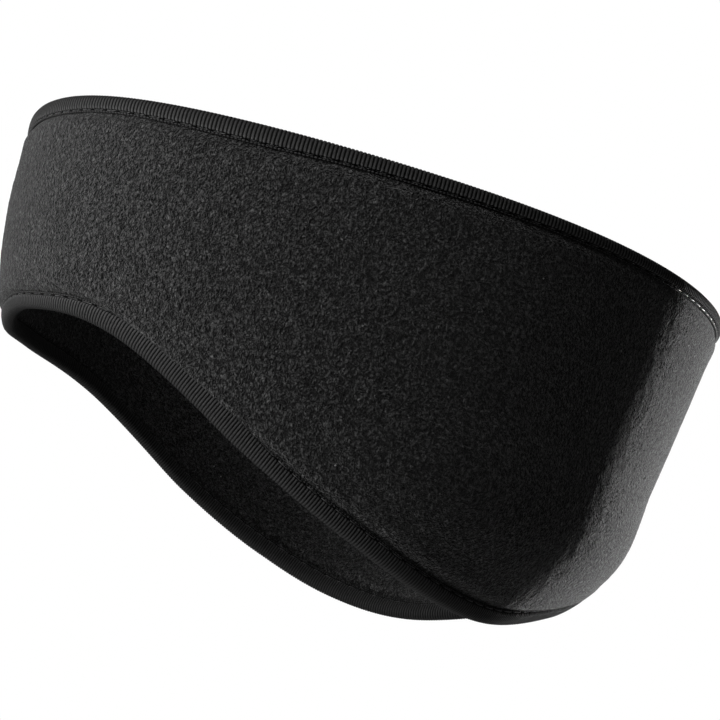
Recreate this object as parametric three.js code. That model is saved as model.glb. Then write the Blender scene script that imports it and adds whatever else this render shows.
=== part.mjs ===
// A fleece headband that warms the ears: narrow over the brow, deep over the ears and the nape, with a
// folded tape along its two edges. It stands open in the shape that it has on a head.
//
// Millimetres. The wearer faces -Y, their left is +X and up is +Z. The origin is the centre of the
// hollow for the head, halfway down the ear panels. The band is worked out level, with its top edge
// round z = 0, and then leaned back as it is worn, with the brow higher than the nape.

import * as THREE from 'three';

// The ring round the head, measured over the outside of the top edge
const headLength = 205;
const headWidth = 159;
const browFullness = 2.31; // power of the ring's curve: 2 is an ellipse, more is squarer
const napeFullness = 1.8;
const topEdgeDip = 4.7; // how far the top edge lies lower over the ears than at the brow and nape

// The band's depth, edge to edge, straight down
const browHeight = 53.5;
const earHeight = 97;
const napeHeight = 82;

// How far the wall has drawn in, from the top edge to the lowest point of the ear panels
const browLean = 28.5;
const napeTuck = 35.5;
const earTuck = 18.5;

const wornTilt = 14.8; // degrees that the brow is lifted

// Cloth
const fleeceThickness = 3.0;
const pressedThickness = 1.0; // fleece flattened inside the folded tape
const loftRun = 2.6; // how far past the tape the fleece has its full thickness again
const tapeThickness = 1.0;
const topTapeWidth = 4.7; // of each leg of the tape folded over the top edge
const lowerTapeWidth = 5.6;
const clearance = 0.3; // between the tape and the fleece

// Fineness of the meshes
const stationCount = 90;
const middleRowCount = 6;
const foldSteps = 4;
const probeAngle = 1e-3; // radians, for slopes and normals
const probeDrop = 1e-2;

// The lower edge, from the brow (turn 0) round one side to the nape (turn 1). The band's depth at a
// row is the sum of its shares of the three heights.
const lowerEdgeRows = [
  { turn: 0.0, brow: 1.0, ear: 0.0, nape: 0.0 },
  { turn: 0.125, brow: 0.98, ear: 0.0, nape: 0.0 },
  { turn: 0.25, brow: 0.98, ear: 0.045, nape: 0.0 },
  { turn: 0.375, brow: 0.5, ear: 0.51, nape: 0.0 },
  { turn: 0.5, brow: 0.17, ear: 0.83, nape: 0.0 },
  { turn: 0.625, brow: 0.0, ear: 1.0, nape: 0.0 },
  { turn: 0.75, brow: 0.0, ear: 0.98, nape: 0.04 },
  { turn: 0.875, brow: 0.0, ear: 0.57, nape: 0.44 },
  { turn: 1.0, brow: 0.0, ear: 0.0, nape: 1.0 },
];

// The wall's profile, from the top edge (depth 0) to the lowest point of the ear panels (depth 1), as
// shares of the lean over the brow and of the tucks at the nape and the ears.
const wallRows = [
  { depth: 0.0, brow: 0.0, nape: 0.0, ear: 0.0 },
  { depth: 0.25, brow: 0.04, nape: 0.13, ear: 0.18 },
  { depth: 0.5, brow: 0.24, nape: 0.27, ear: 0.35 },
  { depth: 0.75, brow: 0.75, nape: 0.43, ear: 0.5 },
  { depth: 1.0, brow: 1.0, nape: 1.0, ear: 1.0 },
];

// How the fleece regains its thickness past the tape, as shares of loftRun and of the loft.
const loftRows = [
  { run: 0.0, loft: 0.0 },
  { run: 0.4, loft: 0.85 },
  { run: 1.0, loft: 1.0 },
];

// A smooth curve through the rows of a table: value(row) over row[key], level at both ends if asked.
function smoothThrough(rows, key, value, at, levelEnds) {
  const slope = (index) => {
    const before = Math.max(index - 1, 0);
    const after = Math.min(index + 1, rows.length - 1);
    const atAnEnd = index === before || index === after;
    if (levelEnds && atAnEnd) return 0;
    return (value(rows[after]) - value(rows[before])) / (rows[after][key] - rows[before][key]);
  };
  let start = 0;
  while (start < rows.length - 2 && at >= rows[start + 1][key]) start += 1;
  const length = rows[start + 1][key] - rows[start][key];
  const t = (at - rows[start][key]) / length;
  return (2 * t ** 3 - 3 * t ** 2 + 1) * value(rows[start])
    + (t ** 3 - 2 * t ** 2 + t) * length * slope(start)
    + (3 * t ** 2 - 2 * t ** 3) * value(rows[start + 1])
    + (t ** 3 - t ** 2) * length * slope(start + 1);
}

const turnOf = (angle) => 1 - Math.abs(angle / Math.PI - 1);
const signedPower = (value, power) => Math.sign(value) * Math.abs(value) ** power;

// The band's outline as a surface: angle 0 is the brow, a quarter turn is the wearer's left ear and
// half a turn is the nape. drop is measured down from the top edge's level.
function outlinePoint(angle, drop) {
  const wall = (key) => smoothThrough(wallRows, 'depth', (row) => row[key], drop / earHeight, false);
  const browY = -headLength / 2 + browLean * wall('brow');
  const napeY = headLength / 2 - napeTuck * wall('nape');
  const halfWidth = headWidth / 2 - earTuck * wall('ear');
  const towardsNape = (1 - Math.cos(angle)) / 2;
  const power = 2 / THREE.MathUtils.lerp(browFullness, napeFullness, towardsNape);
  return new THREE.Vector3(
    halfWidth * signedPower(Math.sin(angle), power),
    (browY + napeY) / 2 - ((napeY - browY) / 2) * signedPower(Math.cos(angle), power),
    -drop,
  );
}

// A point of the cloth, that far inwards from the outline along its normal.
function clothPoint(angle, drop, inwards) {
  const around = outlinePoint(angle + probeAngle, drop).sub(outlinePoint(angle - probeAngle, drop));
  const down = outlinePoint(angle, drop + probeDrop).sub(outlinePoint(angle, drop - probeDrop));
  const inward = around.cross(down).normalize();
  return outlinePoint(angle, drop).addScaledVector(inward, inwards);
}

// The two edges: the width of its tape's legs, the drop of each, and which way the cloth lies from it.
const topEdge = {
  tapeWidth: topTapeWidth,
  drop: (angle) => (-topEdgeDip / 2) * Math.cos(2 * angle),
  clothSide: 1,
};
const lowerEdge = {
  tapeWidth: lowerTapeWidth,
  drop: (angle) => smoothThrough(
    lowerEdgeRows,
    'turn',
    (row) => row.brow * browHeight + row.ear * earHeight + row.nape * napeHeight,
    turnOf(angle),
    true,
  ),
  clothSide: -1,
};

// The drop of a point that lies inset from an edge, measured square to the edge.
function dropBeside(edge, angle, inset) {
  const rise = edge.drop(angle + probeAngle) - edge.drop(angle - probeAngle);
  const drop = edge.drop(angle);
  const run = outlinePoint(angle + probeAngle, drop).distanceTo(outlinePoint(angle - probeAngle, drop));
  return drop + edge.clothSide * inset * Math.hypot(1, rise / run);
}

// The wall's middle lies under the outline by half of all that is stacked at an edge: tape, fleece,
// tape and the two clearances.
const halfPressed = pressedThickness / 2;
const halfSlot = halfPressed + clearance;
const halfFold = halfSlot + tapeThickness;

// The fleece beside an edge: pressed flat inside the tape, then back to its full thickness.
const slotFloor = tapeThickness + clearance;
const fleeceRows = (edge) => [
  { inset: slotFloor, half: halfPressed },
  ...loftRows.map((row) => ({
    inset: edge.tapeWidth + clearance + row.run * loftRun,
    half: THREE.MathUtils.lerp(halfPressed, fleeceThickness / 2, row.loft),
  })),
];

// One section of the fleece: down its outer face and up its inner face.
function fleeceSection(angle) {
  const beside = (edge) => fleeceRows(edge).map((row) => ({
    drop: dropBeside(edge, angle, row.inset),
    half: row.half,
  }));
  const upper = beside(topEdge);
  const lower = beside(lowerEdge).reverse();
  const middle = [];
  for (let row = 1; row <= middleRowCount; row += 1) {
    middle.push({
      drop: THREE.MathUtils.lerp(upper.at(-1).drop, lower[0].drop, row / (middleRowCount + 1)),
      half: fleeceThickness / 2,
    });
  }
  const rows = [...upper, ...middle, ...lower];
  const outer = rows.map((row) => clothPoint(angle, row.drop, halfFold - row.half));
  const inner = rows.map((row) => clothPoint(angle, row.drop, halfFold + row.half));
  return [...outer, ...inner.reverse()];
}

// A tape's section: two flat legs joined by a round fold. across runs outwards from the wall's middle.
function tapeProfile(tapeWidth) {
  const fold = [];
  for (let step = 0; step <= foldSteps; step += 1) {
    const round = (step / foldSteps) * Math.PI;
    fold.push({ inset: slotFloor * (1 - Math.sin(round)), across: halfFold * Math.cos(round) });
  }
  return [
    { inset: tapeWidth, across: halfFold },
    ...fold,
    { inset: tapeWidth, across: -halfFold },
    { inset: tapeWidth, across: -halfSlot },
    { inset: slotFloor, across: -halfSlot },
    { inset: tapeThickness, across: 0 },
    { inset: slotFloor, across: halfSlot },
    { inset: tapeWidth, across: halfSlot },
  ];
}

function tapeSection(edge, angle) {
  const points = tapeProfile(edge.tapeWidth).map(
    (row) => clothPoint(angle, dropBeside(edge, angle, row.inset), halfFold - row.across),
  );
  return edge.clothSide > 0 ? points.reverse() : points;
}

// A closed ring through the same section at every station.
function ringGeometry(sectionAt) {
  const positions = [];
  const indices = [];
  for (let station = 0; station < stationCount; station += 1) {
    sectionAt((2 * Math.PI * station) / stationCount).forEach((point) => positions.push(...point));
  }
  const rowCount = positions.length / 3 / stationCount;
  const vertex = (station, row) => (station % stationCount) * rowCount + (row % rowCount);
  for (let station = 0; station < stationCount; station += 1) {
    for (let row = 0; row < rowCount; row += 1) {
      const here = vertex(station, row);
      const below = vertex(station, row + 1);
      const beyond = vertex(station + 1, row);
      const across = vertex(station + 1, row + 1);
      indices.push(here, below, across, here, across, beyond);
    }
  }
  const geometry = new THREE.BufferGeometry();
  geometry.setAttribute('position', new THREE.Float32BufferAttribute(positions, 3));
  geometry.setIndex(indices);
  geometry.computeVertexNormals();
  return geometry;
}

const blackFleece = new THREE.MeshStandardMaterial({ color: 0x17171a, roughness: 0.96, metalness: 0 });
const blackTape = new THREE.MeshStandardMaterial({ color: 0x1d1d20, roughness: 0.82, metalness: 0 });

const fleeceBand = new THREE.Mesh(ringGeometry(fleeceSection), blackFleece);
fleeceBand.name = 'fleece_band';

const topBinding = new THREE.Mesh(ringGeometry((angle) => tapeSection(topEdge, angle)), blackTape);
topBinding.name = 'top_binding';

const bottomBinding = new THREE.Mesh(ringGeometry((angle) => tapeSection(lowerEdge, angle)), blackTape);
bottomBinding.name = 'bottom_binding';

const levelBand = new THREE.Group();
levelBand.add(fleeceBand, topBinding, bottomBinding);
levelBand.position.z = earHeight / 2;

const worn = new THREE.Group();
worn.add(levelBand);
worn.rotation.x = THREE.MathUtils.degToRad(-wornTilt);

const headband = new THREE.Group();
headband.add(worn);

export default headband;
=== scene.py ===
"""The looks of a black fleece headband that warms the ears, held open as it is on a head.

Metres. The wearer faces -Y, their left is +X and up is +Z. The origin is the centre of the hollow for
the head. The fleece and the two folded tapes are worked out on one surface, the same one as the
solids', and each is a bmesh grid that is wrapped round and welded into a closed ring.
"""

import logging
import math
from dataclasses import dataclass, field
from enum import Enum
from typing import Callable, NamedTuple

import bmesh
import bpy
import numpy as np
from mathutils import Matrix, Vector, noise


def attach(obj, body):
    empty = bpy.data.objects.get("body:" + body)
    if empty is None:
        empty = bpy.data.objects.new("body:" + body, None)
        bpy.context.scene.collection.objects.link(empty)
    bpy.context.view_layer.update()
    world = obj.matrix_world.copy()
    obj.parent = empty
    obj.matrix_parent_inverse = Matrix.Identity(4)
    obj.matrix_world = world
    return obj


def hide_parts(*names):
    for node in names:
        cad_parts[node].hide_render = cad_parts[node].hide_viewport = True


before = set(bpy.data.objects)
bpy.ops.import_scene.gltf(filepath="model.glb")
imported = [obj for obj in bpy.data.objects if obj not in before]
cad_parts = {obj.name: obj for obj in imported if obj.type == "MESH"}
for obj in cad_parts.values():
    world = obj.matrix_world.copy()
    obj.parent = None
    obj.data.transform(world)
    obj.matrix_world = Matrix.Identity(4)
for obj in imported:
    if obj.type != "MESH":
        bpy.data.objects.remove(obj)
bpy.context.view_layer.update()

MM = 0.001
BODY = "root"
CLOTH_MAP = "Cloth"
# The tape's painted light: how much of the yarn's tone shows, with painted shade in the sewn groove, inside
# the fold and on its crest, and a painted highlight at the rib ends.
PAINTED_LIGHT_ATTRIBUTE = "PaintedLight"
WELD_DISTANCE = 1e-6
THREAD_SIDES = 6

log = logging.getLogger("headband")


class EdgeRow(NamedTuple):
    """Depth of the band at a share of the half turn from the brow to the nape, by shares of heights."""

    turn: float
    brow: float
    ear: float
    nape: float


class WallRow(NamedTuple):
    """How far the wall has drawn in at a share of the ear panels' depth."""

    depth: float
    brow: float
    nape: float
    ear: float


class SeamRow(NamedTuple):
    """How far in from its edge a tape is sewn down, in millimetres, at so many half turns from the brow."""

    turn: float
    inset: float


class TapeRow(NamedTuple):
    """A point of one leg of a tape's section.

    It lies at a share of the way from the edge to the stitches, and so far beyond that, and across is its
    distance from the middle of the wall, both in millimetres. rib says how much of a rib stands there,
    pucker how much the cloth swells there between two stitches, and the last value how much of the yarn's
    tone shows, the rest being painted shade: none in the sewn groove, all of it at the ends of the ribs,
    which are a painted highlight.
    """

    share: float
    beyond: float
    across: float
    rib: float
    pucker: float
    open: float


LOWER_EDGE = (
    EdgeRow(turn=0.0, brow=1.0, ear=0.0, nape=0.0),
    EdgeRow(turn=0.125, brow=0.98, ear=0.0, nape=0.0),
    EdgeRow(turn=0.25, brow=0.98, ear=0.045, nape=0.0),
    EdgeRow(turn=0.375, brow=0.5, ear=0.51, nape=0.0),
    EdgeRow(turn=0.5, brow=0.17, ear=0.83, nape=0.0),
    EdgeRow(turn=0.625, brow=0.0, ear=1.0, nape=0.0),
    EdgeRow(turn=0.75, brow=0.0, ear=0.98, nape=0.04),
    EdgeRow(turn=0.875, brow=0.0, ear=0.57, nape=0.44),
    EdgeRow(turn=1.0, brow=0.0, ear=0.0, nape=1.0),
)

WALL = (
    WallRow(depth=0.0, brow=0.0, nape=0.0, ear=0.0),
    WallRow(depth=0.25, brow=0.04, nape=0.13, ear=0.18),
    WallRow(depth=0.5, brow=0.24, nape=0.27, ear=0.35),
    WallRow(depth=0.75, brow=0.75, nape=0.43, ear=0.5),
    WallRow(depth=1.0, brow=1.0, nape=1.0, ear=1.0),
)

# From the lip past the stitches, over the crown of the leg, nearly to the fold
# The last column is painted light: 0 in the sewn groove and 0.2 at the lip are painted shade, 1.0 on the rib
# ends either side of the groove is a painted highlight, and it falls towards the fold as painted shade.
TAPE_LEG = (
    TapeRow(share=1.0, beyond=0.6, across=1.12, rib=0.5, pucker=0.0, open=0.2),
    TapeRow(share=1.0, beyond=0.42, across=1.54, rib=1.3, pucker=0.6, open=1.0),
    TapeRow(share=1.0, beyond=0.14, across=1.1, rib=0.1, pucker=1.0, open=0.0),
    TapeRow(share=1.0, beyond=-0.18, across=1.1, rib=0.1, pucker=1.0, open=0.0),
    TapeRow(share=1.0, beyond=-0.42, across=1.66, rib=1.0, pucker=0.7, open=1.0),
    TapeRow(share=0.76, beyond=0.0, across=1.86, rib=1.0, pucker=0.0, open=0.62),
    TapeRow(share=0.5, beyond=0.0, across=1.9, rib=1.0, pucker=0.0, open=0.5),
    TapeRow(share=0.3, beyond=0.0, across=1.8, rib=1.0, pucker=0.0, open=0.42),
    TapeRow(share=0.14, beyond=0.0, across=1.42, rib=1.0, pucker=0.0, open=0.3),
    TapeRow(share=0.04, beyond=0.0, across=0.8, rib=1.0, pucker=0.0, open=0.2),
)
# Painted shade along the fold's crest.
FOLD_PAINTED_SHADE = 0.2

# The sewn lines wander a little, as they do under the needle
TOP_SEAM = (
    SeamRow(turn=0.0, inset=4.3),
    SeamRow(turn=0.12, inset=4.4),
    SeamRow(turn=0.22, inset=3.9),
    SeamRow(turn=0.36, inset=4.6),
    SeamRow(turn=0.44, inset=3.7),
    SeamRow(turn=0.55, inset=3.3),
    SeamRow(turn=0.8, inset=3.3),
    SeamRow(turn=1.0, inset=3.6),
    SeamRow(turn=1.2, inset=4.0),
    SeamRow(turn=1.45, inset=3.5),
    SeamRow(turn=1.7, inset=4.2),
    SeamRow(turn=2.0, inset=4.3),
)
LOWER_SEAM = (
    SeamRow(turn=0.0, inset=4.6),
    SeamRow(turn=0.15, inset=4.0),
    SeamRow(turn=0.22, inset=4.7),
    SeamRow(turn=0.28, inset=5.5),
    SeamRow(turn=0.35, inset=5.9),
    SeamRow(turn=0.41, inset=4.5),
    SeamRow(turn=0.5, inset=4.6),
    SeamRow(turn=0.7, inset=4.8),
    SeamRow(turn=0.85, inset=5.0),
    SeamRow(turn=1.0, inset=4.7),
    SeamRow(turn=1.2, inset=4.4),
    SeamRow(turn=1.4, inset=5.1),
    SeamRow(turn=1.65, inset=4.6),
    SeamRow(turn=1.85, inset=5.0),
    SeamRow(turn=2.0, inset=4.6),
)


class LampRow(NamedTuple):
    """A square soft light that faces the band.

    azimuth runs from the brow towards the wearer's left and elevation is the height above the band, both in
    degrees as spread is, the angle of its beam. distance and size, its side, are in metres, and power is in
    watts.
    """

    name: str
    azimuth: float
    elevation: float
    distance: float
    power: float
    size: float
    spread: float


LAMPS = (
    LampRow("KeyHigh", azimuth=30.0, elevation=40.0, distance=0.6, power=2.35, size=0.35, spread=120.0),
    LampRow("KeyLow", azimuth=0.0, elevation=-25.0, distance=0.6, power=3.0, size=0.35, spread=120.0),
    LampRow("Fill", azimuth=77.0, elevation=60.0, distance=1.0, power=0.4, size=0.6, spread=120.0),
    LampRow("Rim", azimuth=-142.0, elevation=-9.0, distance=2.0, power=11.0, size=0.2, spread=60.0),
)


class SmoothCurve:
    """A smooth curve through the rows of a table."""

    def __init__(self, at: list[float], values: list[float], level_ends: bool = False) -> None:
        """Works out the slope at each row from its neighbours.

        Args:
            at: where the rows lie.
            values: the value at each row.
            level_ends: whether the curve leaves both ends level.
        """
        self.at = np.array(at, float)
        self.values = np.array(values, float)
        rows = np.arange(len(at))
        before = np.maximum(rows - 1, 0)
        after = np.minimum(rows + 1, len(at) - 1)
        self.slopes = (self.values[after] - self.values[before]) / (self.at[after] - self.at[before])
        if level_ends:
            self.slopes[[0, -1]] = 0.0

    def __call__(self, where: np.ndarray) -> np.ndarray:
        """The curve's value at each place.

        Args:
            where: places along the table.

        Returns:
            One value for each place.
        """
        start = np.clip(np.searchsorted(self.at, where, side="right") - 1, 0, len(self.at) - 2)
        length = self.at[start + 1] - self.at[start]
        t = (where - self.at[start]) / length
        return (
            (2 * t**3 - 3 * t**2 + 1) * self.values[start]
            + (t**3 - 2 * t**2 + t) * length * self.slopes[start]
            + (3 * t**2 - 2 * t**3) * self.values[start + 1]
            + (t**3 - t**2) * length * self.slopes[start + 1]
        )


class Edge(Enum):
    """The band's two edges, each with the way from it into the cloth."""

    TOP = 1
    LOWER = -1

    @property
    def seam(self) -> SmoothCurve:
        """How far in this edge's tape is sewn down, in metres, over half turns from the brow."""
        rows = TOP_SEAM if self is Edge.TOP else LOWER_SEAM
        return SmoothCurve([row.turn for row in rows], [row.inset * MM for row in rows], level_ends=True)


def unit(vectors: np.ndarray) -> np.ndarray:
    """Each row of vectors at length one."""
    return vectors / np.linalg.norm(vectors, axis=-1, keepdims=True)


def smoothstep(low: float, high: float, value: np.ndarray) -> np.ndarray:
    """A smooth rise from 0 at low to 1 at high."""
    t = np.clip((value - low) / (high - low), 0.0, 1.0)
    return t * t * (3 - 2 * t)


@dataclass
class BandForm:
    """The outline of the headband as a surface over an angle and a drop below the top edge's level."""

    head_length: float = 205 * MM
    head_width: float = 159 * MM
    brow_fullness: float = 2.31
    nape_fullness: float = 1.8
    top_edge_dip: float = 4.7 * MM
    brow_height: float = 53.5 * MM
    ear_height: float = 97 * MM
    nape_height: float = 82 * MM
    brow_lean: float = 28.5 * MM
    nape_tuck: float = 35.5 * MM
    ear_tuck: float = 18.5 * MM
    worn_tilt: float = math.radians(14.8)
    half_fold: float = 1.8 * MM
    probe_angle: float = 1e-3
    probe_drop: float = 1e-5
    measured_steps: int = 20000
    lower: SmoothCurve = field(init=False)
    wall: dict[str, SmoothCurve] = field(init=False)

    def __post_init__(self) -> None:
        """Makes the smooth curves from the two tables."""
        depths = [
            row.brow * self.brow_height + row.ear * self.ear_height + row.nape * self.nape_height
            for row in LOWER_EDGE
        ]
        self.lower = SmoothCurve([row.turn for row in LOWER_EDGE], depths, level_ends=True)
        self.wall = {
            side: SmoothCurve([row.depth for row in WALL], [getattr(row, side) for row in WALL])
            for side in ("brow", "nape", "ear")
        }

    def edge_drop(self, edge: Edge, angle: np.ndarray) -> np.ndarray:
        """How far an edge lies below the top edge's level.

        Args:
            edge: which edge.
            angle: angles round the band, 0 at the brow.

        Returns:
            One drop for each angle.
        """
        if edge is Edge.TOP:
            return -self.top_edge_dip / 2 * np.cos(2 * angle)
        turn = 1 - np.abs(np.mod(angle, 2 * math.pi) / math.pi - 1)
        return self.lower(turn)

    def outline(self, angle: np.ndarray, drop: np.ndarray) -> np.ndarray:
        """Points of the outline before the band is leaned back.

        Args:
            angle: angles round the band.
            drop: drops below the top edge's level.

        Returns:
            An array of points.
        """
        depth = drop / self.ear_height
        brow_y = -self.head_length / 2 + self.brow_lean * self.wall["brow"](depth)
        nape_y = self.head_length / 2 - self.nape_tuck * self.wall["nape"](depth)
        half_width = self.head_width / 2 - self.ear_tuck * self.wall["ear"](depth)
        towards_nape = (1 - np.cos(angle)) / 2
        power = 2 / (self.brow_fullness + (self.nape_fullness - self.brow_fullness) * towards_nape)
        across = np.sign(np.sin(angle)) * np.abs(np.sin(angle)) ** power
        along = np.sign(np.cos(angle)) * np.abs(np.cos(angle)) ** power
        middle = (brow_y + nape_y) / 2
        return np.stack([half_width * across, middle - (nape_y - brow_y) / 2 * along, -drop], axis=-1)

    def slopes(self, angle: np.ndarray, drop: np.ndarray) -> tuple[np.ndarray, np.ndarray]:
        """How the outline moves with the angle and with the drop.

        Args:
            angle: angles round the band.
            drop: drops below the top edge's level.

        Returns:
            The step for each radian and the step for each metre of drop.
        """
        a, d = self.probe_angle, self.probe_drop
        around = (self.outline(angle + a, drop) - self.outline(angle - a, drop)) / (2 * a)
        down = (self.outline(angle, drop + d) - self.outline(angle, drop - d)) / (2 * d)
        return around, down

    def worn(self, points: np.ndarray) -> np.ndarray:
        """Points of the level band, leaned back as it is worn, with the hollow's centre at the origin."""
        c, s = math.cos(self.worn_tilt), math.sin(self.worn_tilt)
        y, z = points[..., 1], points[..., 2] + self.ear_height / 2
        return np.stack([points[..., 0], y * c + z * s, z * c - y * s], axis=-1)

    def cloth(self, angle: np.ndarray, drop: np.ndarray, outwards: np.ndarray) -> np.ndarray:
        """Points of the cloth in the row's frame.

        Args:
            angle: angles round the band.
            drop: drops below the top edge's level.
            outwards: distances from the middle of the wall towards the outside.

        Returns:
            An array of points.
        """
        around, down = self.slopes(angle, drop)
        outward = unit(np.cross(down, around))
        return self.worn(self.outline(angle, drop) + outward * (outwards - self.half_fold)[..., None])

    def beside(self, edge: Edge, angle: np.ndarray, inset: np.ndarray) -> tuple[np.ndarray, np.ndarray]:
        """Where on the surface a step of that length leads, square to an edge and into the cloth.

        Args:
            edge: which edge.
            angle: angles round the band.
            inset: lengths of the step.

        Returns:
            The angle and the drop there.
        """
        drop = self.edge_drop(edge, angle)
        fall = self.edge_drop(edge, angle + self.probe_angle) - self.edge_drop(edge, angle - self.probe_angle)
        around, down = self.slopes(angle, drop)
        tangent = unit(around + down * (fall / (2 * self.probe_angle))[..., None])
        outward = unit(np.cross(down, around))
        step = unit(np.cross(tangent, outward))
        step *= np.sign(edge.value * (step * down).sum(-1))[..., None]
        aa, ab, bb = (around * around).sum(-1), (around * down).sum(-1), (down * down).sum(-1)
        sa, sb = (step * around).sum(-1), (step * down).sum(-1)
        size = aa * bb - ab * ab
        return angle + inset * (sa * bb - sb * ab) / size, drop + inset * (sb * aa - sa * ab) / size

    def evenly(self, edge: Edge, count: int) -> tuple[np.ndarray, float]:
        """Angles that are evenly spaced along an edge.

        Args:
            edge: which edge.
            count: how many.

        Returns:
            The angles and the edge's length.
        """
        fine = np.linspace(0, 2 * math.pi, self.measured_steps + 1)
        points = self.outline(fine, self.edge_drop(edge, fine))
        run = np.concatenate([[0.0], np.cumsum(np.linalg.norm(np.diff(points, axis=0), axis=1))])
        return np.interp(np.arange(count) / count * run[-1], run, fine), float(run[-1])


def mesh_of(bm: bmesh.types.BMesh, name: str) -> bpy.types.Mesh:
    """A new mesh of what bm holds, after which bm is gone."""
    mesh = bpy.data.meshes.new(name)
    bm.to_mesh(mesh)
    bm.free()
    return mesh


def linked(name: str, data: bpy.types.ID) -> bpy.types.Object:
    """A new object for a mesh, a light or a camera, linked to the scene."""
    made = bpy.data.objects.new(name, data)
    bpy.context.scene.collection.objects.link(made)
    return made


def wrapped_ring(
    name: str,
    stations: int,
    rows: int,
    place: Callable[[np.ndarray, np.ndarray], np.ndarray],
    cloth_size: tuple[float, float],
    painted_light_rows: np.ndarray | None = None,
) -> bpy.types.Object:
    """A closed ring, from a bmesh grid that is wrapped round both ways and welded along its two seams.

    Args:
        name: the piece's name.
        stations: faces round the ring.
        rows: faces round its section.
        place: gives the points for arrays of station and row numbers.
        cloth_size: length and breadth of the cloth, for the map that its patterns follow.
        painted_light_rows: for each row, how much of its yarns' tone shows, the rest being painted shade.

    Returns:
        The piece, in the row's frame.
    """
    bm = bmesh.new()
    bmesh.ops.create_grid(bm, x_segments=stations, y_segments=rows, size=0.5)
    mesh = mesh_of(bm, name)
    flat = np.empty(len(mesh.vertices) * 3, np.float32)
    mesh.vertices.foreach_get("co", flat)
    share = flat.reshape(-1, 3)[:, :2].astype(float) + 0.5
    station = np.rint(share[:, 0] * stations).astype(int)
    row = np.rint(share[:, 1] * rows).astype(int)
    points = place(station % stations, row % rows)
    mesh.vertices.foreach_set("co", points.astype(np.float32).ravel())
    corner = np.empty(len(mesh.loops), np.int32)
    mesh.loops.foreach_get("vertex_index", corner)
    cloth = share[corner] * np.array(cloth_size)
    mesh.uv_layers.new(name=CLOTH_MAP).uv.foreach_set("vector", cloth.astype(np.float32).ravel())
    # Painted light: painted shade in the groove and the fold, painted highlight at the rib ends.
    if painted_light_rows is not None:
        values = painted_light_rows[row % rows].astype(np.float32)
        mesh.attributes.new(PAINTED_LIGHT_ATTRIBUTE, "FLOAT", "POINT").data.foreach_set("value", values)

    bm = bmesh.new()
    bm.from_mesh(mesh)
    bm.verts.ensure_lookup_table()
    seam = np.flatnonzero((station % stations == 0) | (row % rows == 0))
    bmesh.ops.remove_doubles(bm, verts=[bm.verts[i] for i in seam], dist=WELD_DISTANCE)
    bmesh.ops.recalc_face_normals(bm, faces=bm.faces)
    for face in bm.faces:
        face.smooth = True
    bm.to_mesh(mesh)
    bm.free()
    return linked(name, mesh)


def repeated_thread(name: str, count: int) -> bpy.types.Mesh:
    """Many copies of one small thread, all at the origin, each a rounded rod of length and width one.

    Args:
        name: the mesh's name.
        count: how many.

    Returns:
        The mesh, whose vertices lie copy after copy.
    """
    bm = bmesh.new()
    lying = Matrix.Rotation(math.pi / 2, 4, "Y")
    bmesh.ops.create_uvsphere(
        bm, u_segments=THREAD_SIDES, v_segments=THREAD_SIDES, radius=0.5, matrix=lying
    )
    each, faces, made = len(bm.verts), len(bm.faces), 1
    while made < count:
        more = min(made, count - made)
        bm.verts.ensure_lookup_table()
        bm.faces.ensure_lookup_table()
        geometry = bm.verts[: more * each] + bm.faces[: more * faces]
        bmesh.ops.duplicate(bm, geom=geometry)
        made += more
    for face in bm.faces:
        face.smooth = True
    return mesh_of(bm, name)


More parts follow.
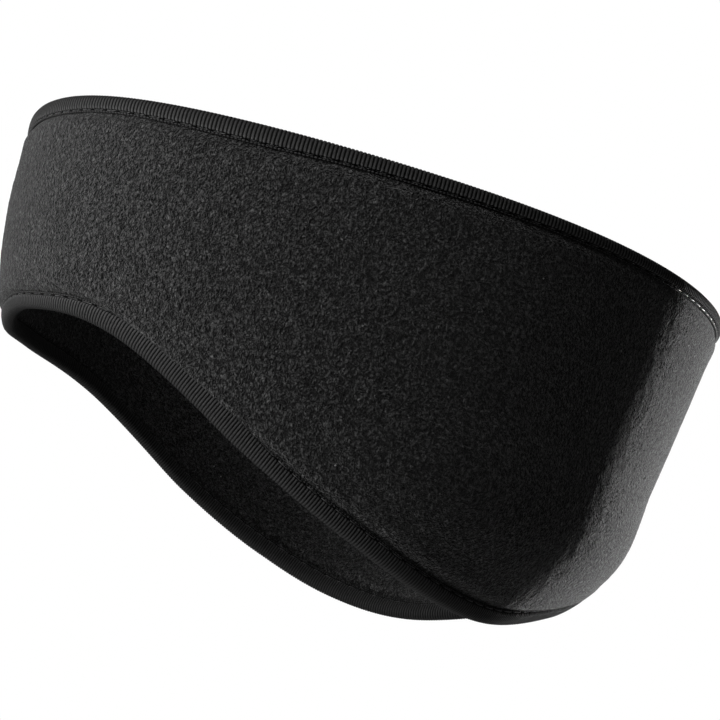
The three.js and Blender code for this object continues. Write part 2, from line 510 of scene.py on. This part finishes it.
class Nodes:
    """Short ways to add and link nodes in one node tree."""

    def __init__(self, tree: bpy.types.NodeTree) -> None:
        """Keeps the tree."""
        self.tree = tree

    def add(self, kind: str, **settings: object) -> bpy.types.Node:
        """Adds a node.

        Args:
            kind: the node's type.
            settings: its properties.

        Returns:
            The node.
        """
        node = self.tree.nodes.new(kind)
        for key, value in settings.items():
            setattr(node, key, value)
        return node

    def wire(self, source: object, target: bpy.types.NodeSocket) -> None:
        """Links a socket to target, or sets target to a plain value."""
        if isinstance(source, bpy.types.NodeSocket):
            self.tree.links.new(source, target)
        else:
            target.default_value = source

    def math(self, operation: str, *values: object) -> bpy.types.NodeSocket:
        """A Math node.

        Args:
            operation: what it works out.
            values: sockets or numbers.

        Returns:
            Its output.
        """
        node = self.add("ShaderNodeMath", operation=operation)
        for value, socket in zip(values, node.inputs):
            self.wire(value, socket)
        return node.outputs[0]

    def total(self, *parts: tuple[object, float]) -> bpy.types.NodeSocket:
        """The sum of values, each times its share.

        Args:
            parts: pairs of a value and its share.

        Returns:
            The sum.
        """
        terms = [self.math("MULTIPLY", value, share) for value, share in parts]
        result = terms[0]
        for term in terms[1:]:
            result = self.math("ADD", result, term)
        return result

    def channel(self, colour: object, index: int) -> bpy.types.NodeSocket:
        """One of a colour's three parts, each about 0 to 1."""
        node = self.add("ShaderNodeSeparateColor")
        self.wire(colour, node.inputs[0])
        return node.outputs[index]

    def noise(
        self,
        vector: object,
        scale: object,
        detail: float,
        rough: float = 0.5,
        curl: float = 0.0,
        output: str = "Fac",
    ) -> bpy.types.NodeSocket:
        """A Noise Texture.

        Args:
            vector: where it is read.
            scale: how many features there are in a metre.
            detail: its octaves.
            rough: how strong the finer octaves are.
            curl: how far it is distorted.
            output: Fac for one value, or Color for three.

        Returns:
            Its value, about 0 to 1.
        """
        node = self.add("ShaderNodeTexNoise")
        self.wire(vector, node.inputs["Vector"])
        self.wire(scale, node.inputs["Scale"])
        node.inputs["Detail"].default_value = detail
        node.inputs["Roughness"].default_value = rough
        node.inputs["Distortion"].default_value = curl
        return node.outputs[output]

    def cells(self, vector: object, scale: object, feature: str) -> bpy.types.Node:
        """A Voronoi Texture.

        Args:
            vector: where it is read.
            scale: how many cells there are in a metre.
            feature: F1 or DISTANCE_TO_EDGE.

        Returns:
            The node.
        """
        node = self.add("ShaderNodeTexVoronoi", feature=feature)
        self.wire(vector, node.inputs["Vector"])
        self.wire(scale, node.inputs["Scale"])
        return node

    def shifted(self, vector: object, by: object, reach: object) -> bpy.types.NodeSocket:
        """A vector moved by a colour whose parts lie round one half, times reach."""
        middle = self.add("ShaderNodeVectorMath", operation="SUBTRACT")
        self.wire(by, middle.inputs[0])
        middle.inputs[1].default_value = (0.5, 0.5, 0.5)
        scaled = self.add("ShaderNodeVectorMath", operation="SCALE")
        self.wire(middle.outputs[0], scaled.inputs[0])
        self.wire(reach, scaled.inputs["Scale"])
        moved = self.add("ShaderNodeVectorMath", operation="ADD")
        self.wire(vector, moved.inputs[0])
        self.wire(scaled.outputs[0], moved.inputs[1])
        return moved.outputs[0]

    def ramp(self, value: object, low: float, high: float) -> bpy.types.NodeSocket:
        """A smooth rise from 0 to 1 between two values."""
        node = self.add("ShaderNodeMapRange", interpolation_type="SMOOTHSTEP")
        self.wire(value, node.inputs["Value"])
        node.inputs["From Min"].default_value = low
        node.inputs["From Max"].default_value = high
        return node.outputs["Result"]

    def blend(self, share: object, dark: object, light: object) -> bpy.types.NodeSocket:
        """A colour between two colours.

        Args:
            share: how far it is towards light.
            dark: a colour.
            light: another.

        Returns:
            The colour.
        """
        node = self.add("ShaderNodeMix", data_type="RGBA")
        self.wire(share, node.inputs[0])
        self.wire(dark, node.inputs[6])
        self.wire(light, node.inputs[7])
        return node.outputs[2]


def grey(value: float) -> tuple[float, float, float, float]:
    """A neutral colour."""
    return (value, value, value, 1.0)


def new_group(
    name: str, values: tuple[str, ...], outputs: tuple[str, ...]
) -> tuple[Nodes, bpy.types.bpy_prop_collection, bpy.types.bpy_prop_collection]:
    """A node group that reads a Vector and some values, and puts out some values.

    Args:
        name: its name.
        values: the names of its inputs apart from Vector.
        outputs: the names of its outputs.

    Returns:
        Its nodes, the sockets that it is given and the sockets that it fills.
    """
    group = bpy.data.node_groups.new(name, "ShaderNodeTree")
    sockets = group.interface
    sockets.new_socket(name="Vector", in_out="INPUT", socket_type="NodeSocketVector")
    for value in values:
        sockets.new_socket(name=value, in_out="INPUT", socket_type="NodeSocketFloat")
    for output in outputs:
        sockets.new_socket(name=output, in_out="OUTPUT", socket_type="NodeSocketFloat")
    nodes = Nodes(group)
    return nodes, nodes.add("NodeGroupInput").outputs, nodes.add("NodeGroupOutput").inputs


@dataclass(frozen=True)
class PilePattern:
    """What the pile of a pilled knit is made up of.

    The shares say how much of the height, or of the shade, each part gives; that shade is painted: painted
    shade where the pile is low, in the hollows and cracks between tufts, and painted glints on some fibre
    tips. Each pair is where a smooth rise starts and ends. wander is how far a tuft is pushed about, in
    tufts. Widths and the lint's radius are parts of a cell or of the noise that they are cut from, and
    lint_rarity is the share of cells without any.
    """

    wander: float = 1.3
    dome_share: float = 0.45
    crack_width: float = 0.2
    crack_share: float = 0.2
    curl_rough: float = 0.85
    curl_twist: float = 0.6
    curl_rise: tuple[float, float] = (0.3, 0.72)
    curl_share: float = 0.55
    strand_twist: float = 0.8
    strand_width: float = 0.14
    strand_share: float = 0.4
    hollow_shade_rise: tuple[float, float] = (0.7, 1.25)
    hollow_shade_share: float = 0.5
    glints_per_curl: float = 0.95
    glint_chance: tuple[float, float] = (0.45, 1.0)
    glint_rise: tuple[float, float] = (0.55, 0.15)
    glint_share: float = 0.7
    lint_cells_per_metre: float = 230.0
    lint_rarity: float = 0.93
    lint_radius: float = 0.055

    def group(self) -> bpy.types.NodeTree:
        """The pile as a group: rounded tufts with cracks between them, curled fibres, painted shade in the
        hollows, painted glints on tips, and lint.

        Returns:
            A group with the inputs Vector, Tuft, Curl and Fibre, the last three in features for each metre,
            and the outputs Height, Shade, which holds the painted shade and the painted glints, and Lint.
        """
        nodes, given, result = new_group("PilledPile", ("Tuft", "Curl", "Fibre"), ("Height", "PaintedShading", "Lint"))
        where = given["Vector"]
        push = nodes.noise(where, given["Tuft"], detail=1.0, output="Color")
        bent = nodes.shifted(where, push, nodes.math("DIVIDE", self.wander, given["Tuft"]))
        tuft = nodes.cells(bent, given["Tuft"], "F1").outputs["Distance"]
        dome = nodes.math("SUBTRACT", 1.0, tuft)
        edge = nodes.cells(bent, given["Tuft"], "DISTANCE_TO_EDGE").outputs["Distance"]
        crack = nodes.ramp(edge, 0.0, self.crack_width)
        twisted = nodes.noise(where, given["Curl"], detail=1.0, rough=self.curl_rough, curl=self.curl_twist)
        curl = nodes.ramp(twisted, *self.curl_rise)
        strand = nodes.noise(where, given["Fibre"], detail=1.0, curl=self.strand_twist)
        away = nodes.math("ABSOLUTE", nodes.math("SUBTRACT", strand, 0.5))
        ridge = nodes.math("SUBTRACT", 1.0, nodes.ramp(away, 0.0, self.strand_width))
        lift = nodes.total((dome, self.dome_share), (crack, self.crack_share))
        grain = nodes.total((curl, self.curl_share), (ridge, self.strand_share))
        height = nodes.math("ADD", lift, grain)
        nodes.wire(height, result["Height"])

        # Painted glints: light dots on some fibre tips.
        glints = nodes.cells(bent, nodes.math("MULTIPLY", given["Curl"], self.glints_per_curl), "F1").outputs
        chance = nodes.ramp(nodes.channel(glints["Color"], 1), *self.glint_chance)
        painted_glint = nodes.math("MULTIPLY", chance, nodes.ramp(glints["Distance"], *self.glint_rise))
        # Painted shade: darker where the pile is low, in the hollows and cracks.
        body = nodes.ramp(height, *self.hollow_shade_rise)
        shade = nodes.total((body, self.hollow_shade_share), (painted_glint, self.glint_share))
        nodes.wire(shade, result["PaintedShading"])

        specks = nodes.cells(where, self.lint_cells_per_metre, "F1").outputs
        rare = nodes.math("GREATER_THAN", nodes.channel(specks["Color"], 0), self.lint_rarity)
        near = nodes.math("LESS_THAN", specks["Distance"], self.lint_radius)
        nodes.wire(nodes.math("MULTIPLY", rare, near), result["Lint"])
        return nodes.tree


@dataclass(frozen=True)
class YarnPattern:
    """What the yarns of a ribbed tape are made up of.

    The shares say how much of the height each part gives. Each pair is where a smooth rise starts and ends.
    unevenness and crown_middle are parts of a rib, and least_light is the shade of the darkest yarn on it.
    The dark between two ribs is painted shade.
    """

    filament_rough: float = 0.65
    filament_share: float = 0.7
    fuzz_share: float = 0.3
    unevenness: float = 0.12
    crown_middle: float = 0.56
    crown_rise: tuple[float, float] = (0.4, 0.16)
    uneven_rise: tuple[float, float] = (0.3, 0.68)
    least_light: float = 0.35

    def group(self) -> bpy.types.NodeTree:
        """Ribs across a tape and the fine filaments that run along them, as a group.

        Returns:
            A group with the inputs Vector, which counts ribs, Fineness and Stretch, and the outputs Height
            and Shade, which is dark between two ribs as painted shade.
        """
        nodes, given, result = new_group("TapeYarn", ("Fineness", "Stretch"), ("Height", "PaintedShading"))
        parts = nodes.add("ShaderNodeSeparateXYZ")
        nodes.wire(given["Vector"], parts.inputs[0])
        drawn = nodes.add("ShaderNodeCombineXYZ")
        nodes.wire(parts.outputs["X"], drawn.inputs["X"])
        nodes.wire(nodes.math("DIVIDE", parts.outputs["Y"], given["Stretch"]), drawn.inputs["Y"])
        filament = nodes.noise(drawn.outputs[0], given["Fineness"], detail=3.0, rough=self.filament_rough)
        fuzz = nodes.noise(given["Vector"], given["Fineness"], detail=2.0)
        height = nodes.total((filament, self.filament_share), (fuzz, self.fuzz_share))
        nodes.wire(height, result["Height"])

        drift = nodes.math("MULTIPLY", fuzz, self.unevenness)
        phase = nodes.math("FRACT", nodes.math("ADD", parts.outputs["X"], drift))
        away = nodes.math("ABSOLUTE", nodes.math("SUBTRACT", phase, self.crown_middle))
        # Painted shade: dark away from each rib's crown.
        crown = nodes.ramp(away, *self.crown_rise)
        uneven = nodes.ramp(height, *self.uneven_rise)
        lit = nodes.math("ADD", self.least_light, nodes.math("MULTIPLY", uneven, 1 - self.least_light))
        nodes.wire(nodes.math("MULTIPLY", crown, lit), result["PaintedShading"])
        return nodes.tree


def new_material(name: str) -> tuple[bpy.types.Material, Nodes, bpy.types.Node]:
    """An empty node material.

    Args:
        name: its name.

    Returns:
        The material, its nodes and its Principled shader.
    """
    material = bpy.data.materials.new(name)
    material.use_nodes = True
    shader = material.node_tree.nodes["Principled BSDF"]
    shader.inputs["Metallic"].default_value = 0.0
    return material, Nodes(material.node_tree), shader


@dataclass(frozen=True)
class ClothSurface:
    """How a cloth's surface takes the light, the same all over."""

    roughness: float
    specular: float
    sheen: float
    sheen_roughness: float
    sheen_tint: float

    def dress(self, shader: bpy.types.Node) -> None:
        """Sets the sockets of a Principled shader."""
        shader.inputs["Roughness"].default_value = self.roughness
        shader.inputs["Specular IOR Level"].default_value = self.specular
        shader.inputs["Sheen Weight"].default_value = self.sheen
        shader.inputs["Sheen Roughness"].default_value = self.sheen_roughness
        shader.inputs["Sheen Tint"].default_value = grey(self.sheen_tint)


def add_bump(nodes: Nodes, shader: bpy.types.Node, height: object, strength: float, relief: float) -> None:
    """Bumps a surface.

    Args:
        nodes: the material's nodes.
        shader: its Principled shader.
        height: the socket that gives the height.
        strength: how much of the bump shows.
        relief: how far a height of 1 stands out, in metres.
    """
    bump = nodes.add("ShaderNodeBump")
    bump.inputs["Strength"].default_value = strength
    bump.inputs["Distance"].default_value = relief
    nodes.wire(height, bump.inputs["Height"])
    nodes.wire(bump.outputs["Normal"], shader.inputs["Normal"])


@dataclass(frozen=True)
class FleeceFinish:
    """Matt black fleece with a short pilled pile, darker in its hollows as painted shade and lighter at some
    tips as painted glints.
    """

    # hollow is the painted shade deep in the pile; the tip colour is the tone of lit tuft tops and painted
    # glints.
    hollow: float = 0.001
    lit_tip: float = 0.072
    lint: float = 0.2
    tufts_per_metre: float = 760.0
    curls_per_metre: float = 1400.0
    fibres_per_metre: float = 1000.0
    relief: float = 0.7 * MM
    surface: ClothSurface = ClothSurface(
        roughness=0.95, specular=0.12, sheen=0.12, sheen_roughness=0.45, sheen_tint=0.75
    )

    def material(self, group: bpy.types.NodeTree) -> bpy.types.Material:
        """The fleece's material.

        Args:
            group: the pile's node group.

        Returns:
            The material.
        """
        material, nodes, shader = new_material("BlackFleece")
        pile = nodes.add("ShaderNodeGroup", node_tree=group)
        nodes.wire(nodes.add("ShaderNodeTexCoord").outputs["Object"], pile.inputs["Vector"])
        pile.inputs["Tuft"].default_value = self.tufts_per_metre
        pile.inputs["Curl"].default_value = self.curls_per_metre
        pile.inputs["Fibre"].default_value = self.fibres_per_metre
        # Painted shade in the hollows, painted glints on the tips.
        shade = nodes.blend(pile.outputs["PaintedShading"], grey(self.hollow), grey(self.lit_tip))
        nodes.wire(nodes.blend(pile.outputs["Lint"], shade, grey(self.lint)), shader.inputs["Base Color"])
        add_bump(nodes, shader, pile.outputs["Height"], strength=1.0, relief=self.relief)
        self.surface.dress(shader)
        return material


@dataclass(frozen=True)
class TapeFinish:
    """Black ribbed tape, a little smoother than the fleece, with painted shade between its ribs and in its
    sewn groove.
    """

    # groove is the painted shade of the sewn groove and the fold's inside, valley the painted shade between
    # two ribs.
    groove_shade: float = 0.0005
    valley_shade: float = 0.003
    crown: float = 0.066
    filaments_per_rib: float = 5.0
    filament_stretch: float = 5.0
    relief: float = 0.12 * MM
    surface: ClothSurface = ClothSurface(
        roughness=0.85, specular=0.08, sheen=0.01, sheen_roughness=0.35, sheen_tint=0.8
    )

    def material(self, group: bpy.types.NodeTree) -> bpy.types.Material:
        """The tape's material.

        Args:
            group: the yarn's node group.

        Returns:
            The material.
        """
        material, nodes, shader = new_material("BlackRibbedTape")
        yarn = nodes.add("ShaderNodeGroup", node_tree=group)
        nodes.wire(nodes.add("ShaderNodeUVMap", uv_map=CLOTH_MAP).outputs["UV"], yarn.inputs["Vector"])
        yarn.inputs["Fineness"].default_value = self.filaments_per_rib
        yarn.inputs["Stretch"].default_value = self.filament_stretch
        shade = nodes.blend(yarn.outputs["PaintedShading"], grey(self.valley_shade), grey(self.crown))
        # Where the Open attribute is low the groove's painted shade shows; at the rib ends it is 1, a painted
        # highlight.
        painted_light_share = nodes.add("ShaderNodeAttribute", attribute_name=PAINTED_LIGHT_ATTRIBUTE).outputs["Fac"]
        nodes.wire(nodes.blend(painted_light_share, grey(self.groove_shade), shade), shader.inputs["Base Color"])
        add_bump(nodes, shader, yarn.outputs["Height"], strength=0.8, relief=self.relief)
        self.surface.dress(shader)
        return material


@dataclass(frozen=True)
class ThreadFinish:
    """Black sewing thread."""

    dark: float = 0.01
    light: float = 0.09
    twists_per_metre: float = 6500.0
    twist_rise: tuple[float, float] = (0.35, 0.65)
    surface: ClothSurface = ClothSurface(
        roughness=0.45, specular=0.5, sheen=0.1, sheen_roughness=0.5, sheen_tint=1.0
    )

    def material(self) -> bpy.types.Material:
        """The thread's material."""
        material, nodes, shader = new_material("BlackThread")
        where = nodes.add("ShaderNodeTexCoord").outputs["Object"]
        twist = nodes.ramp(nodes.noise(where, self.twists_per_metre, detail=2.0), *self.twist_rise)
        nodes.wire(nodes.blend(twist, grey(self.dark), grey(self.light)), shader.inputs["Base Color"])
        self.surface.dress(shader)
        return material


@dataclass
class FleeceBand:
    """The band itself: one wall of fleece, pressed flat inside the tapes and lofty between them."""

    form: BandForm
    name: str = "Fleece"
    stations: int = 560
    hidden_rows: int = 3
    open_rows: int = 78
    pressed: float = 1.0 * MM
    slot_floor: float = 1.3 * MM
    lip: float = 0.58 * MM
    tucked: float = 1.0 * MM
    loft_run: float = 3.0 * MM
    half_loft: float = 1.8 * MM
    loft_power: float = 0.7
    puff: float = 0.3 * MM
    puff_reach: float = 1.1
    relief: float = 0.08 * MM
    coarse_pile: float = 3.0 * MM
    coarse_share: float = 0.5
    fine_pile: float = 1.6 * MM
    fine_shift: tuple[float, float, float] = (7.0, 3.0, 1.0)

    def half_thickness(self, beyond: np.ndarray) -> np.ndarray:
        """Half the wall's thickness so far past a tape's lip: pressed, swelling, then even."""
        rise = smoothstep(-self.tucked, self.loft_run, beyond) ** self.loft_power
        swell = np.exp(-(((beyond - self.loft_run) / (self.puff_reach * self.loft_run)) ** 2))
        return self.pressed / 2 + (self.half_loft - self.pressed / 2) * rise + self.puff * swell * rise

    def pile_relief(self, points: np.ndarray) -> np.ndarray:
        """How far the pile stands out at each point, in parts of the relief."""
        coarse, fine, shift = 1 / self.coarse_pile, 1 / self.fine_pile, Vector(self.fine_shift)
        heights = []
        for point in map(Vector, points):
            low = self.coarse_share * noise.noise(point * coarse)
            heights.append(low + noise.noise(point * fine + shift))
        return np.array(heights)

    def rows(self) -> tuple[np.ndarray, np.ndarray, np.ndarray]:
        """The wall's rows, down the outer face and up the inner face.

        Returns:
            For each row, its share of the way from the top tape to the lower one, how deep it is hidden in
            a tape, and 1 on the outer face or -1 on the inner one.
        """
        level = np.zeros(self.hidden_rows)
        depth = np.linspace(1.0, 0.0, self.hidden_rows, endpoint=False)
        share = np.concatenate([level, np.linspace(0.0, 1.0, self.open_rows), level + 1.0])
        hidden = np.concatenate([depth, np.zeros(self.open_rows), depth[::-1]])
        face = np.repeat([1.0, -1.0], len(share))
        return np.concatenate([share, share[::-1]]), np.concatenate([hidden, hidden[::-1]]), face

    def place(self, station: np.ndarray, row: np.ndarray) -> np.ndarray:
        """Points of the wall's surface.

        Args:
            station: numbers of stations round the band.
            row: numbers of its rows.

        Returns:
            An array of points.
        """
        share, hidden, face = (values[row] for values in self.rows())
        angles, _ = self.form.evenly(Edge.TOP, self.stations)
        drops, lips = [], []
        for edge in Edge:
            lip = edge.seam(angles / math.pi) + self.lip
            tucked = lip - self.tucked
            at_edge = self.form.edge_drop(edge, angles)
            fall = (self.form.beside(edge, angles, tucked)[1] - at_edge) / tucked
            inset = tucked[station] + (self.slot_floor - tucked[station]) * hidden
            drops.append(at_edge[station] + fall[station] * inset)
            lips.append((at_edge[station], fall[station], lip[station]))
        drop = drops[0] * (1 - share) + drops[1] * share
        beyond = np.minimum(*((drop - at_edge) / fall - lip for at_edge, fall, lip in lips))
        half = self.half_thickness(beyond)
        level = self.form.cloth(angles[station], drop, face * half)
        shown = smoothstep(-self.tucked, self.loft_run, beyond)
        raised = half + self.relief * shown * self.pile_relief(level)
        return self.form.cloth(angles[station], drop, face * raised)

    def build(self, material: bpy.types.Material) -> bpy.types.Object:
        """Makes the band and dresses it.

        Args:
            material: the fleece's material.

        Returns:
            The piece.
        """
        rows = 2 * (self.open_rows + 2 * self.hidden_rows)
        _, girth = self.form.evenly(Edge.TOP, self.stations)
        piece = wrapped_ring(self.name, self.stations, rows, self.place, (girth, 2 * self.form.ear_height))
        piece.data.materials.append(material)
        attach(piece, BODY)
        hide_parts("fleece_band")
        return piece


@dataclass
class RibbedTape:
    """A ribbed tape folded over one edge, and the two rows of stitches that hold it."""

    form: BandForm
    edge: Edge
    name: str
    node: str
    rib_pitch: float
    rib_steps: int = 6
    rib_height: float = 0.24 * MM
    rib_middle: float = 0.55
    slot_half: float = 0.8 * MM
    slot_floor: float = 1.3 * MM
    fold_wall: float = 1.0 * MM
    slot_end: float = 0.5 * MM
    pucker_height: float = 0.09 * MM
    stitch_pitch: float = 2.2 * MM
    stitch_length: float = 1.0 * MM
    stitch_width: float = 0.28 * MM
    stitch_across: float = 1.16 * MM
    stitch_inset: float = -0.04 * MM

    def section(self) -> tuple[np.ndarray, np.ndarray]:
        """The tape's section, as a closed line.

        Returns:
            For each point, its share of the way to the stitches, how far beyond that it lies and how far from
            the wall's middle; and for each, the share of a rib's height and of the swell between stitches,
            and how much of the yarn's tone shows there, the rest being painted shade.
        """
        leg = [(row.share, row.beyond * MM, row.across * MM) for row in TAPE_LEG]
        relief = [(row.rib, row.pucker, row.open) for row in TAPE_LEG]
        inside = [
            (1.0, self.slot_end, -self.slot_half),
            (0.0, self.slot_floor, -self.slot_half),
            (0.0, self.fold_wall, 0.0),
            (0.0, self.slot_floor, self.slot_half),
            (1.0, self.slot_end, self.slot_half),
        ]
        mirrored = [(share, beyond, -across) for share, beyond, across in reversed(leg)]
        points = leg + [(0.0, 0.0, 0.0)] + mirrored + inside
        # The inside of the fold is all painted shade, its crest partly.
        reliefs_and_painted_light = relief + [(1.0, 0.0, FOLD_PAINTED_SHADE)] + relief[::-1] + [(0.0, 0.0, 0.0)] * len(inside)
        return np.array(points), np.array(reliefs_and_painted_light)

    def flat_section(self) -> np.ndarray:
        """The section at the seam's mean inset, as inset and across."""
        points, _ = self.section()
        mean = self.edge.seam.values.mean()
        return np.stack([points[:, 0] * mean + points[:, 1], points[:, 2]], axis=-1)

    def place(self, station: np.ndarray, row: np.ndarray) -> np.ndarray:
        """Points of the tape's surface.

        Args:
            station: numbers of stations along the tape.
            row: numbers of points of its section.

        Returns:
            An array of points.
        """
        points, reliefs_and_painted_light = self.section()
        flat = self.flat_section()
        along = unit(np.roll(flat, -1, axis=0) - np.roll(flat, 1, axis=0))
        out = np.stack([along[:, 1], -along[:, 0]], axis=-1)
        phase = (station % self.rib_steps) / self.rib_steps
        arch = np.sqrt(np.clip(1 - (2 * phase - 1) ** 2, 0, 1))
        angles, _ = self.form.evenly(self.edge, self.rib_count() * self.rib_steps)
        stitch = station * self.stitch_count() * 2 * math.pi / len(angles)
        pucker = self.pucker_height * reliefs_and_painted_light[row, 1] * np.cos(stitch)
        swell = self.rib_height * reliefs_and_painted_light[row, 0] * (arch - self.rib_middle) - pucker
        seam = self.edge.seam(angles / math.pi)[station]
        inset = points[row, 0] * seam + points[row, 1] + out[row, 0] * swell
        across = points[row, 2] + out[row, 1] * swell
        angle, drop = self.form.beside(self.edge, angles[station], inset)
        return self.form.cloth(angle, drop, across)

    def stitch_count(self) -> int:
        """How many stitches go round the edge."""
        _, length = self.form.evenly(self.edge, 1)
        return round(length / self.stitch_pitch)

    def rib_count(self) -> int:
        """How many ribs go round the edge."""
        _, length = self.form.evenly(self.edge, 1)
        return round(length / self.rib_pitch)

    def build(self, material: bpy.types.Material) -> bpy.types.Object:
        """Makes the tape and dresses it.

        Args:
            material: the tape's material.

        Returns:
            The piece.
        """
        flat = self.flat_section()
        breadth = float(np.linalg.norm(np.diff(flat, axis=0), axis=1).sum())
        ribs = self.rib_count()
        cloth_size = (float(ribs), breadth / self.rib_pitch)
        # The painted light for each row of the section.
        painted_light_rows = self.section()[1][:, 2]
        piece = wrapped_ring(self.name, ribs * self.rib_steps, len(flat), self.place, cloth_size, painted_light_rows)
        piece.data.materials.append(material)
        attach(piece, BODY)
        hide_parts(self.node)
        return piece

    def stitches(self, material: bpy.types.Material) -> bpy.types.Object:
        """Makes the stitches along both legs of the tape.

        Args:
            material: the thread's material.

        Returns:
            The piece, one mesh of many small threads.
        """
        count = self.stitch_count()
        angles, _ = self.form.evenly(self.edge, count)
        inset = self.edge.seam(angles / math.pi) + self.stitch_inset
        angle, drop = self.form.beside(self.edge, angles, inset)
        middle = self.form.cloth(angle, drop, np.zeros(count))
        mesh = repeated_thread(self.name + "Stitches", 2 * count)
        local = np.empty(len(mesh.vertices) * 3, np.float32)
        mesh.vertices.foreach_get("co", local)
        local = local.reshape(2, count, -1, 3).astype(float)
        local *= (self.stitch_length, self.stitch_width, self.stitch_width)
        for side, thread in zip((1.0, -1.0), local):
            centre = self.form.cloth(angle, drop, np.full(count, side * self.stitch_across))
            ahead = unit(np.roll(centre, -1, axis=0) - np.roll(centre, 1, axis=0))
            out = unit(centre - middle)
            turn = np.stack([ahead, unit(np.cross(out, ahead)), out], axis=1)
            thread[:] = np.einsum("cvi,cij->cvj", thread, turn) + centre[:, None]
        mesh.vertices.foreach_set("co", local.astype(np.float32).ravel())
        piece = linked(mesh.name, mesh)
        piece.data.materials.append(material)
        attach(piece, BODY)
        return piece


@dataclass
class Studio:
    """A pale floor, a white surround, soft lights and the camera."""

    floor_drop: float = 0.6
    floor_size: float = 40.0
    floor_tone: float = 0.8
    floor_roughness: float = 0.9
    surround_seen: float = 1.0
    surround_given: float = 0.08
    camera_place: tuple[float, float, float] = (0.40602, -0.08660, -0.05166)
    camera_azimuth: float = 77.10
    camera_elevation: float = -8.93
    lens: float = 74.86
    sensor: float = 36.0

    def floor(self) -> None:
        """The floor, far enough below that nothing of the band meets it, and pure white to the camera."""
        bm = bmesh.new()
        below = Matrix.Translation((0, 0, -self.floor_drop))
        bmesh.ops.create_grid(bm, x_segments=1, y_segments=1, size=self.floor_size / 2, matrix=below)
        floor = linked("Floor", mesh_of(bm, "Floor"))
        material, nodes, shader = new_material("PaleFloor")
        shader.inputs["Base Color"].default_value = grey(self.floor_tone)
        shader.inputs["Roughness"].default_value = self.floor_roughness
        glow = nodes.add("ShaderNodeEmission")
        glow.inputs["Strength"].default_value = 1.0
        seen = nodes.add("ShaderNodeMixShader")
        share = nodes.add("ShaderNodeLightPath").outputs["Is Camera Ray"]
        nodes.wire(share, seen.inputs[0])
        nodes.wire(shader.outputs[0], seen.inputs[1])
        nodes.wire(glow.outputs[0], seen.inputs[2])
        nodes.wire(seen.outputs[0], material.node_tree.nodes["Material Output"].inputs["Surface"])
        floor.data.materials.append(material)

    def surround(self) -> None:
        """A white world: one brightness to the camera, and another for the soft light that it casts."""
        world = bpy.data.worlds.new("White")
        bpy.context.scene.world = world
        world.use_nodes = True
        nodes = Nodes(world.node_tree)
        to_camera = nodes.add("ShaderNodeLightPath").outputs["Is Camera Ray"]
        more = nodes.math("MULTIPLY", to_camera, self.surround_seen - self.surround_given)
        background = world.node_tree.nodes["Background"]
        background.inputs["Color"].default_value = grey(1.0)
        nodes.wire(nodes.math("ADD", self.surround_given, more), background.inputs["Strength"])

    def direction(self, azimuth: float, elevation: float) -> Vector:
        """The way from the band's centre towards an azimuth and an elevation in degrees, at length one."""
        a, e = math.radians(azimuth), math.radians(elevation)
        return Vector((math.cos(e) * math.sin(a), -math.cos(e) * math.cos(a), math.sin(e)))

    def lamp(self, row: LampRow) -> None:
        """Hangs one light, facing the band's centre."""
        data = bpy.data.lights.new(row.name, "AREA")
        data.energy = row.power
        data.size = row.size
        data.spread = math.radians(row.spread)
        light = linked(row.name, data)
        outwards = self.direction(row.azimuth, row.elevation)
        light.location = outwards * row.distance
        light.rotation_mode = "QUATERNION"
        light.rotation_quaternion = (-outwards).to_track_quat("-Z", "Y")

    def camera(self) -> None:
        """The camera, at the photograph's angle."""
        data = bpy.data.cameras.new("Camera")
        data.lens = self.lens
        data.sensor_width = self.sensor
        data.clip_start = 0.01
        data.clip_end = 100.0
        camera = linked("Camera", data)
        camera.location = self.camera_place
        camera.rotation_mode = "QUATERNION"
        backwards = self.direction(self.camera_azimuth, self.camera_elevation)
        camera.rotation_quaternion = (-backwards).to_track_quat("-Z", "Y")
        bpy.context.scene.camera = camera

    def build(self) -> None:
        """Sets the whole stage."""
        bpy.context.scene.view_settings.view_transform = "Standard"
        self.camera()
        self.floor()
        self.surround()
        for row in LAMPS:
            self.lamp(row)


def main() -> None:
    """Builds the stage and the headband's pieces in order."""
    logging.basicConfig(level=logging.INFO, format="%(name)s: %(message)s")
    Studio().build()
    form = BandForm()
    fleece_material = FleeceFinish().material(PilePattern().group())
    tape_material = TapeFinish().material(YarnPattern().group())
    thread_material = ThreadFinish().material()
    fleece = FleeceBand(form).build(fleece_material)
    log.info("%s: %d faces", fleece.name, len(fleece.data.polygons))
    tapes = (
        RibbedTape(form, Edge.TOP, "TopTape", "top_binding", rib_pitch=0.98 * MM),
        RibbedTape(form, Edge.LOWER, "LowerTape", "bottom_binding", rib_pitch=0.82 * MM),
    )
    for tape in tapes:
        for piece in (tape.build(tape_material), tape.stitches(thread_material)):
            log.info("%s: %d faces", piece.name, len(piece.data.polygons))
    _, girth = form.evenly(Edge.TOP, 1)


if __name__ == "__main__":
    main()
